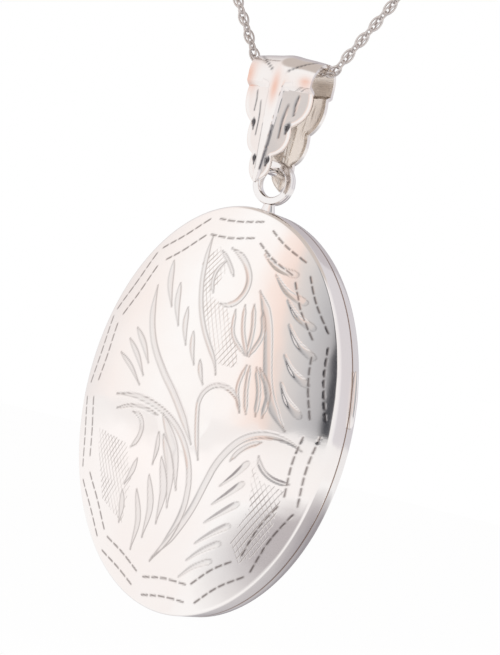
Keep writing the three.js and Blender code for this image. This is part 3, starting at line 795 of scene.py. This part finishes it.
# %% Strokes
STEMS = [
    (0.75, sweep(-8, 12, -85, (10, 40), (9, -13))),  # upper left down to the middle
    (0.6, sweep(-9.5, -0.5, 12, (7, -35), (6.5, -45), (6, -40), (6.5, -25))),  # left scroll
    (0.3, sweep(-9, -2, 25, (6, -45))),
    (0.5, sweep(-6.5, -2, 5, (2.5, -95), (2.5, -50))),
    (0.7, sweep(13.5, -2, 145, (3.5, 40), (4, 45), (5, 25), (11, -30))),  # right scroll
    (0.5, sweep(-3, 18.5, -85, (5.5, 10), (8, 25), (2.5, -25))),  # edge of the top ground
    (0.6, sweep(0, 17.5, -15, (4, -45), (3.2, -65), (2.2, -70))),  # curl at the top
    (0.35, sweep(0, 16, -140, (2.5, 60), (1.5, 25))),
    (0.35, sweep(-1, 17, -35, (3.5, -20))),
    (0.45, sweep(6.5, 0.5, 100, (3, 60), (3, 75), (2, 45), (5.5, 10))),  # hook in the middle
    (0.95, sweep(5, 13.5, -50, (5.5, -25), (4, 0), (6, 30))),  # long leaf at the right
    (0.4, sweep(9.5, -2, 200, (4, 45))),
    (0.45, sweep(9.5, -3.5, -80, (2.5, 55), (2, 35))),
]
PETALS = [
    *fan(4, (0.35, 0.45), (-0.15, 0.15), [(3, 11), (4.5, 12), (6, 11.5)], [(5.5, 6.5), (6, 6.5)]),
    *fan(4, (0.35, 0.5), (-0.12, 0.15), [(6, 5.5), (7.5, 5.5)], [(6.5, 0.5), (9, 0.5)]),
]
# lances: a wedge cut from a point to a broad end
LANCES = [
    *fan(5, (0.75, 0.5), (-0.05, -0.05), [(-7, 15), (-3, 10.5), (0.5, 5)], [(-5, 10), (1.5, 2.5)]),
    *fan(3, (0.7, 0.5), (0.05, 0.05), [(-9, 7), (-10.5, 4)], [(-6, 3.5), (-6.5, 1)]),
    *fan(5, (1.1, 0.7), (0.08, 0.11), [(-2.5, -1.5), (-1.5, -6), (-4, -10)],
         [(1, -9), (-0.5, -12.5), (-4, -16.5)]),
    *fan(3, (0.5, 0.7), (0.05, 0.05), [(-2.5, -3.5), (-4.5, -6.5), (-6, -10.5)],
         [(-2.5, -7), (-6, -10), (-6, -14)]),
]
# feathers: like lances, but broad at the outer end
FEATHERS = [
    *fan(6, (0.85, 0.85), (-0.1, -0.08), [(4, 17.5), (8.5, 12.5), (10, 4.5)],
         [(8, 16), (12, 9.5), (12.5, 1.5)]),
    *fan(6, (0.65, 0.6), (-0.03, 0.05), [(6, -7.5), (4.5, -13), (2.5, -18)],
         [(8.5, -4.5), (8, -10), (6, -15.5)]),
]
# hatched grounds: corners of each patch
GROUNDS = [
    [(-3, 15.5), (-1.5, 17.5), (0.5, 15), (-0.5, 12), (2, 11), (4.5, 7), (5, 5), (2.5, 5),
     (-1, 10.5)],
    [(-11.5, -4.5), (-6.5, -5.5), (-5, -9), (-5.5, -14), (-9, -12)],
    [(9, -4), (10, -6), (12.5, -6.5), (11.5, -13), (9, -15), (8, -13), (9.5, -9)],
]
print(len(STEMS + PETALS + LANCES + FEATHERS), "strokes")

# %% [markdown]
# ## Cutting the strokes
# A graver held upright cuts a narrow V; leaned over, it opens into a broad bright flat. So each
# stroke has a width that swells along its length, and a depth that follows the width. Every vertex
# of the dome asks how far it is from each stroke and sinks by the deepest cut that reaches it.

# %% Cut depth
def nearest(grid, line):
    """Distance from each grid point to the line, how far along it, and which side."""
    best = np.full(len(grid), 1e9)
    along = np.zeros(len(grid))
    side = np.zeros(len(grid))
    for i in range(len(line) - 1):
        step = line[i + 1] - line[i]
        size = step @ step
        if size == 0:
            continue
        offset = grid - line[i]
        t = np.clip(offset @ step / size, 0, 1)
        gap = offset - t[:, None] * step
        distance = np.hypot(gap[:, 0], gap[:, 1])
        closer = distance < best
        best = np.where(closer, distance, best)
        along = np.where(closer, (i + t) / (len(line) - 1), along)
        side = np.where(closer, np.sign(step[0] * gap[:, 1] - step[1] * gap[:, 0]), side)
    return best, along, side


def cut_stroke(grid, depth, tone, points, width, swell, deepest, shade=0.75, heel=0.0):
    line = smooth_line(points)
    low = line.min(axis=0) - width - 0.3
    high = line.max(axis=0) + width + 0.3
    close = np.flatnonzero(np.all((grid > low) & (grid < high), axis=1))
    distance, along, side = nearest(grid[close], line)
    half = np.maximum(width / 2 * swell(along), 0.05)
    share = np.clip(distance / half, 0, 1)
    # one side is cut steep, the other is the bright flat
    profile = np.where(side > 0, 1 - share ** 5, 1 - share ** 2)
    cut = deepest * np.minimum(1, half / 0.3) * profile
    if heel:  # the graver lifts out over the last part of the stroke and leaves a bright ramp
        cut = cut * np.clip((1 - along) / heel, 0, 1)
    depth[close] = np.maximum(depth[close], cut)
    # painted shade: grey in the two corners of the cut, most on the steep side, and a little over the
    # whole cut
    line_at = half * 0.9 if width > 0.25 else 0
    blur = 0.075 if width > 0.25 else 0.1
    corner = np.exp(-((distance - line_at) / blur) ** 2) * np.where(side > 0, 1, 0.7)
    floor_tone = 0.15 * (share < 1)
    tone[close] = np.maximum(tone[close], np.maximum(shade * corner, floor_tone))


def dashed(points, dash=0.85, gap=0.3):
    line = smooth_line(points, 0.1)
    run = np.concatenate([[0], np.cumsum(np.linalg.norm(np.diff(line, axis=0), axis=1))])
    pieces = []
    for start in np.arange(0, run[-1] - dash, dash + gap):
        pick = (run >= start) & (run <= start + dash)
        if pick.sum() > 2:
            pieces.append(line[pick])
    return pieces


def inside_patch(grid, corners):
    count = np.zeros(len(grid), bool)
    for (x0, z0), (x1, z1) in zip(corners, corners[1:] + corners[:1]):
        crosses = (z0 > grid[:, 1]) != (z1 > grid[:, 1])
        edge_x = x0 + (x1 - x0) * (grid[:, 1] - z0) / ((z1 - z0) or 1e-9)
        count ^= crosses & (grid[:, 0] < edge_x)
    return count


def pointed(t):
    return np.clip(np.sin(np.pi * np.clip(t, 0.02, 0.98)) * 2.2, 0, 1)


def lance(t):
    return np.clip(np.sin(np.pi * t ** 0.75), 0.12, 1)


def feather(t):
    return np.clip(0.15 + 0.95 * t, 0, 1) * np.where(t > 0.97, 0.8, 1)


# %% Depth of cut over the front
STEM_DEPTH = 0.075
LANCE_DEPTH = 0.07
FEATHER_DEPTH = 0.2
DASH_DEPTH = 0.05
BORDER_CORNERS = 14
FIRST_CORNER = 106  # degrees from the right
BORDER_SHARES = (0.95, 0.86)  # outer and inner line
BORDER_DIP = 0.25
DASH_WIDTH = 0.2


def border_lines(share):
    """The dashed lines between corners spaced evenly round the oval, at a share of its size."""
    turns = [math.radians(FIRST_CORNER + 360 * i / BORDER_CORNERS) for i in range(BORDER_CORNERS)]
    corners = [(share * HALF_WIDTH / MM * math.cos(t), share * HALF_HEIGHT / MM * math.sin(t))
               for t in turns]
    for (x0, z0), (x1, z1) in zip(corners, corners[1:] + corners[:1]):
        a, b = np.array((x0, z0)), np.array((x1, z1))
        middle = (a + b) / 2
        middle = middle * (1 - BORDER_DIP / np.linalg.norm(middle))
        trim = (b - a) * 0.05
        yield [tuple(a + trim), tuple(middle), tuple(b - trim)]


def engrave(grid):
    depth = np.zeros(len(grid))
    tone = np.zeros(len(grid))
    for width, points in STEMS:
        cut_stroke(grid, depth, tone, points, width, pointed, STEM_DEPTH)
    for width, points in PETALS:
        cut_stroke(grid, depth, tone, points, width, pointed, LANCE_DEPTH)
    for width, points in LANCES:
        cut_stroke(grid, depth, tone, points, width, lance, LANCE_DEPTH)
    for width, points in FEATHERS:
        cut_stroke(grid, depth, tone, points, width, feather, FEATHER_DEPTH, 0.5, heel=0.5)
    for share in BORDER_SHARES:
        for arc in border_lines(share):
            for dash in dashed(arc):
                ends = [tuple(dash[0]), tuple(dash[len(dash) // 2]), tuple(dash[-1])]
                cut_stroke(grid, depth, tone, ends, DASH_WIDTH, pointed, DASH_DEPTH, shade=1.4)
    ground = np.zeros(len(grid))
    for corners in GROUNDS:
        ground[inside_patch(grid, corners)] = 1
    # nothing is cut into the rim itself
    reach = np.hypot(grid[:, 0] * MM / HALF_WIDTH, grid[:, 1] * MM / HALF_HEIGHT)
    fade = np.clip((0.975 - reach) / 0.012, 0, 1)
    return depth * fade, np.minimum(tone, 1) * fade, ground


# %% [markdown]
# ## The engraved front shell
# The dome starts as a flat grid, dense enough to hold a cut a fifth of a millimetre wide. Its
# square is mapped smoothly onto the oval and raised to the crown, and the cuts are sunk into it.
# Then its border is extruded into the side, the edge at the seam and the inside of the shell, so
# the sheet has its real thickness and no open edge.

# %% Dome and cuts
GRID = 278
FILLET = 0.3 * MM  # how far in from the rim the shoulder starts to turn
FILLET_START = 1 - FILLET / HALF_WIDTH
bpy.ops.mesh.primitive_grid_add(x_subdivisions=GRID, y_subdivisions=GRID, size=2)
front_shell = bpy.context.object
mesh = front_shell.data
flat = np.empty(len(mesh.vertices) * 3)
mesh.vertices.foreach_get("co", flat)
flat = flat.reshape(-1, 3)
share_x = flat[:, 0] * np.sqrt(1 - flat[:, 1] ** 2 / 2)
share_z = flat[:, 1] * np.sqrt(1 - flat[:, 0] ** 2 / 2)
out_share = np.minimum(np.hypot(share_x, share_z), 1) * FILLET_START
on_oval = np.column_stack([share_x * (HALF_WIDTH - FILLET), share_z * (HALF_HEIGHT - FILLET)])
depth, tone, ground = engrave(on_oval / MM)
raised = (1 - np.maximum(out_share, FLAT_SHARE) ** CROWN_EXPONENT) / (1 - FLAT_SHARE ** CROWN_EXPONENT)
dome = np.column_stack([
    on_oval[:, 0] + CENTRE.x,
    FRONT_SHOULDER - FRONT_CROWN * raised + depth * MM,
    on_oval[:, 1] + CENTRE.z,
])
mesh.vertices.foreach_set("co", dome.ravel())
# the cut attribute carries the painted shade of the grooves
for name, values in (("cut", tone), ("hatch", ground * (depth < 0.01))):
    layer = mesh.attributes.new(name, "FLOAT", "POINT")
    layer.data.foreach_set("value", values.astype(np.float32))
mesh.update()
print("deepest cut", round(float(depth.max()), 3), "mm")

# %% Side, seam and inside
def squeeze(inset_from, inset_to):
    return ((HALF_WIDTH - inset_to) / (HALF_WIDTH - inset_from), 1,
            (HALF_HEIGHT - inset_to) / (HALF_HEIGHT - inset_from))


def extrude_loop(move=0.0, scale=(1, 1, 1)):
    bpy.ops.mesh.extrude_edges_move(TRANSFORM_OT_translate={"value": (0, move, 0)})
    if scale != (1, 1, 1):
        bpy.ops.transform.resize(value=scale, center_override=CENTRE)


edit_all(front_shell)
bpy.ops.mesh.select_mode(type="EDGE")
bpy.ops.mesh.select_all(action="DESELECT")
bpy.ops.mesh.select_non_manifold(extend=False, use_boundary=True)
start_y = FRONT_SHOULDER - FRONT_CROWN * rise(FILLET_START)
stages = []
for t in (0.17, 0.34, 0.5, 0.67, 0.84, 1.0):
    # a quadratic curve from the dome, by the corner, to the side
    y = (1 - t) ** 2 * start_y + 2 * t * (1 - t) * FRONT_SHOULDER + t ** 2 * (FRONT_SHOULDER + FILLET)
    stages.append((FILLET * (1 - t) ** 2, y))
stages += [(0, FRONT_SEAM - 0.45 * MM), (0, FRONT_SEAM - 0.25 * MM), (0, FRONT_SEAM - 0.05 * MM),
           (0.05 * MM, FRONT_SEAM), (SHEET, FRONT_SEAM), (SHEET, FRONT_SHOULDER)]
level, inset = start_y, FILLET
for inset_to, y in stages:
    extrude_loop(y - level, squeeze(inset, inset_to) if inset != inset_to else (1, 1, 1))
    level, inset = y, inset_to
share_now = 1.0
for share_out in (0.93, 0.8, 0.6, 0.4, FLAT_SHARE):
    y = FRONT_SHOULDER - (FRONT_CROWN - SHEET) * rise(share_out)
    ratio = share_out / share_now
    extrude_loop(y - level, (ratio, 1, ratio))
    level, share_now = y, share_out
bpy.ops.mesh.edge_face_add()
bpy.ops.mesh.select_all(action="SELECT")
bpy.ops.mesh.normals_make_consistent(inside=False)
edit_done()
clear_hinge(front_shell)
finish_piece(front_shell, "front_shell", "front_half", engraved, "engraved_silver", "front_cover",
             angle=60)

# %% [markdown]
# ## The bail
# The bail is one strip of sheet, pressed in a die into two leaves and folded over a rod. Each leaf
# has a raised rib down the middle that joins the rounded fold, two sunk facets that slope back to
# the scalloped edge, and veins cut with a graver. The strip is modelled flat as a grid, one row per
# step along it, so that the scalloped width, the rib and the veins are simple formulas of the
# distance along the strip. It is then bent over the fold and given its thickness.

# %% Leaf shape
bail_low, bail_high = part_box("bail")
BAIL_SHEET = 0.4 * MM
FOLD_RADIUS = 2.85 * MM
BAIL_HEIGHT = bail_high[2] - bail_low[2]
LEAF_LENGTH = BAIL_HEIGHT - FOLD_RADIUS
FOLD_HALF_WIDTH = (bail_high[0] - bail_low[0]) / 2
# each lobe: the bulge's control point and the notch that ends it, half width and height above the tip
LOBES = [
    ((1.75, 1.0), (1.25, 3.1)),
    ((3.1, 4.0), (2.6, 6.6)),
    ((4.8, 8.0), (4.0, 11.0)),
]


def edge_points():
    points, start = [], (0.0, 0.0)
    for bulge, notch in LOBES:
        for t in np.linspace(0, 1, 24, endpoint=False):
            points.append([(1 - t) ** 2 * s + 2 * t * (1 - t) * b + t ** 2 * n
                           for s, b, n in zip(start, bulge, notch)])
        start = notch
    points += [LOBES[-1][1], (FOLD_HALF_WIDTH / MM, BAIL_HEIGHT / MM)]
    return np.array(points)


EDGE = edge_points()
print("leaf edge", len(EDGE), "points")

# %% Strip to folded leaves
STRIP_COLUMNS = 64
RIB_HALF = (0.2, 0.055)  # half width at the tip, and what each millimetre of height adds
RIB_REACH = 3.1  # how far the rib stands out from the middle of the fold
FACET_REACH = 2.86
FACET_SLOPE = 0.36
FACET_TOP = 10.9
BAR_REACH = 2.95
RIM_WIDTH = 0.3
RIM_RISE = 0.12
# fire stain on the front leaf: place across and along the strip, and its reach each way
STAINS = [((-3.9, 11.6), (0.8, 1.6)), ((-0.1, 10.6), (0.5, 1.7)), ((3.3, 11.5), (0.7, 0.6))]
# veins on each half leaf: width, then half width and height above the tip
VEINS = [
    (0.24, [(2.65, 10.1), (2.5, 9.1), (2.5, 7.9)]),
    (0.22, [(1.75, 8.9), (1.5, 7.2), (1.45, 5.2)]),
    (0.5, [(2.25, 7.0), (2.15, 6.5), (2.05, 5.8)]),
    (0.48, [(0.85, 3.0), (0.8, 2.6), (0.72, 2.0)]),
    (0.2, [(0.62, 6.4), (0.5, 4.2), (0.3, 1.5)]),
    (0.22, [(3.4, 14.6), (2.1, 13.4), (0.9, 12.4)]),
]


def leaf_reach(across, run, edge_gap):
    """How far the outer face stands from the middle of the fold, in millimetres."""
    rib = RIB_HALF[0] + RIB_HALF[1] * min(run, FACET_TOP)
    out = np.abs(across)
    on_leaf = np.clip((FACET_TOP - run) / 0.35, 0, 1)
    sunk = np.clip((out - rib) / 0.15, 0, 1)
    facet = FACET_REACH - FACET_SLOPE * np.maximum(out - rib, 0)
    rim = RIM_RISE * np.clip(1.4 - edge_gap / RIM_WIDTH, 0, 1)
    leaf_face = RIB_REACH + sunk * (facet + rim - RIB_REACH)
    bar = BAR_REACH - 0.018 * out ** 2 + 0.15 * np.exp(-(out / 1.1) ** 2)
    return on_leaf * leaf_face + (1 - on_leaf) * bar


# one row: half width, height above the tip, turn round the fold, run along the strip
leaf = [(w, h, 0.0, h) for w, h in EDGE if h <= LEAF_LENGTH / MM]
fold = []
for turned in np.linspace(0, math.pi / 2, 16):
    run = (LEAF_LENGTH + FOLD_RADIUS * turned) / MM
    share = turned / (math.pi / 2)
    fold.append((EDGE[-2][0] + (EDGE[-1][0] - EDGE[-2][0]) * share, LEAF_LENGTH / MM, turned, run))
rows = [(-1, *row) for row in leaf + fold] + [(1, *row) for row in (leaf + fold[:-1])[::-1]]
bpy.ops.mesh.primitive_grid_add(x_subdivisions=STRIP_COLUMNS, y_subdivisions=len(rows) - 1, size=2)
bail = bpy.context.object
strip = np.empty(len(bail.data.vertices) * 3)
bail.data.vertices.foreach_get("co", strip)
strip = strip.reshape(-1, 3)
row_number = np.rint((strip[:, 1] + 1) / 2 * (len(rows) - 1)).astype(int)
TIP_Z = bail_low[2] / MM
FOLD_Z = (bail_high[2] - FOLD_RADIUS) / MM
bent = np.zeros_like(strip)
tones = np.zeros(len(strip))
stains = np.zeros(len(strip))
for index, (side, w, h, turned, run) in enumerate(rows):
    pick = np.flatnonzero(row_number == index)
    across = strip[pick, 0] * max(w, 0.04)
    layout = np.column_stack([np.abs(across), np.full(len(pick), run)])
    depth = np.zeros(len(pick))
    tone = np.zeros(len(pick))
    for width, points in VEINS:
        cut_stroke(layout, depth, tone, points, width, lance, 0.13, shade=1)
    if run < 11:
        edge_gap = nearest(layout, EDGE)[0]
    else:
        edge_gap = w - np.abs(across)
    reach = leaf_reach(across, run, edge_gap) - depth
    # painted shade: the veins are darkened, fully wherever they are cut deep
    tones[pick] = np.maximum(tone, 0.9 * (depth > 0.05))
    if side < 0:
        stains[pick] = sum(0.75 * np.exp(-((across - x) / a) ** 2 - ((run - z) / b) ** 2)
                           for (x, z), (a, b) in STAINS)
    bent[pick, 0] = across
    bent[pick, 1] = side * reach * math.cos(turned)
    bent[pick, 2] = (FOLD_Z + reach * math.sin(turned)) if turned else TIP_Z + h
bail.data.vertices.foreach_set("co", (bent * MM).ravel())
for name, values in (("cut", tones), ("stain", stains)):
    layer = bail.data.attributes.new(name, "FLOAT", "POINT")
    layer.data.foreach_set("value", values.astype(np.float32))
bail.data.update()
print("bail rows", len(rows))

# %% Thickness of the bail
edit_all(bail)
bpy.ops.mesh.remove_doubles(threshold=1e-6)
bpy.ops.mesh.normals_make_consistent(inside=False)
edit_done()
middle_face = max(bail.data.polygons, key=lambda face: face.center.z)
if middle_face.normal.z < 0:
    edit_all(bail)
    bpy.ops.mesh.flip_normals()
    edit_done()
wall = bail.modifiers.new("sheet", "SOLIDIFY")
wall.thickness = BAIL_SHEET
wall.offset = -1
wall.use_even_offset = True
wall.material_offset = 1  # the inside of the fold keeps the soft skin of annealing
bail.data.materials.append(leaf_silver)
bail.data.materials.append(leaf_back)
bpy.context.view_layer.objects.active = bail
bpy.ops.object.modifier_apply(modifier=wall.name)
finish_piece(bail, "folded_leaf_bail", "bail", None, "leaf_silver", "bail", angle=35)

# %% [markdown]
# ## Ring, pins, hinge and lip
# The ring on top is half-flat wire with a groove, bent and soldered to the back shell with a foot.
# A voxel remesh melts the ring and its foot together, just as the solder does. The pins and
# knuckles keep their CAD shape with smooth sides, and the thumbnail lip is a smooth turned shape.

# %% Ring and small fittings
ring_low, ring_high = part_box("top_ring")
RING_OUT = (ring_high[0] - ring_low[0]) / 2
RING_WIRE = (ring_high[1] - ring_low[1]) / 2
ring_y = (ring_high[1] + ring_low[1]) / 2
ring_z = ring_high[2] - RING_OUT
half = RING_WIRE  # the band is as wide as it is thick, with a groove rolled round it
ring = spin_section([(RING_OUT - half - u * half, v * half) for u, v in (
    (-1, 0.14), (-0.78, 0), (-1, -0.14), (-1, -0.7), (-0.7, -1), (0.5, -1), (0.85, -0.7),
    (0.85, 0.7), (0.5, 1), (-0.7, 1), (-1, 0.7))], 96)
ring.location = (0, ring_y, ring_z)
foot_high = ring_z - RING_OUT + RING_WIRE
bpy.ops.mesh.primitive_cone_add(
    vertices=32, radius1=0.9 * MM, radius2=0.55 * MM, depth=foot_high - ring_low[2],
    location=(0, ring_y, (foot_high + ring_low[2]) / 2))
foot = bpy.context.object
foot.scale = (1, 0.6, 1)
bpy.ops.object.select_all(action="DESELECT")
foot.select_set(True)
ring.select_set(True)
bpy.context.view_layer.objects.active = ring
bpy.ops.object.join()
bpy.ops.object.transform_apply(location=True, rotation=True, scale=True)
ring.data.remesh_voxel_size = 0.05 * MM
bpy.ops.object.voxel_remesh()
relax = ring.modifiers.new("buffing", "SMOOTH")
relax.iterations = 3
bpy.ops.object.modifier_apply(modifier=relax.name)
finish_piece(ring, "wire_top_ring", "back_half", polished, "polished_silver", "top_ring", angle=60)

PIN_SOLDER = 0.25 * MM  # the cross pin is soldered into the hollow of each leaf's rib
pin_low, pin_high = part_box("bail_pin")
bpy.ops.mesh.primitive_cylinder_add(
    vertices=32, radius=(pin_high[2] - pin_low[2]) / 2,
    depth=pin_high[1] - pin_low[1] + 2 * PIN_SOLDER,
    location=(0, 0, (pin_high[2] + pin_low[2]) / 2), rotation=(math.pi / 2, 0, 0))
pin = bpy.context.object
ends = pin.modifiers.new("soft ends", "BEVEL")
ends.width = 0.08 * MM
ends.segments = 2
bpy.ops.object.modifier_apply(modifier=ends.name)
finish_piece(pin, "cross_pin", "bail", polished, "polished_silver", "bail_pin")

for node, body in (("front_knuckle", "front_half"), ("back_knuckle_upper", "back_half"),
                   ("back_knuckle_lower", "back_half"), ("hinge_pin", "back_half")):
    smooth_copy(node, body, polished, "polished_silver", bevel=0.06 * MM)

lip_low, lip_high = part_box("nail_lip")
lip_rise = (lip_low[2] + lip_high[2]) / 2 - CENTRE.z
lip_x = HALF_WIDTH * math.sqrt(1 - (lip_rise / HALF_HEIGHT) ** 2)
lean = math.atan((HALF_WIDTH / HALF_HEIGHT) ** 2 * lip_rise / lip_x)
bpy.ops.mesh.primitive_uv_sphere_add(
    segments=32, ring_count=40, radius=1, rotation=(0, -lean, 0),
    location=(lip_x, (lip_low[1] + lip_high[1]) / 2, CENTRE.z + lip_rise))
lip = bpy.context.object
lip.scale = (0.55 * MM, 0.3 * MM, (lip_high[2] - lip_low[2]) / 2)
finish_piece(lip, "thumbnail_lip", "back_half", polished, "polished_silver", "nail_lip", angle=60)
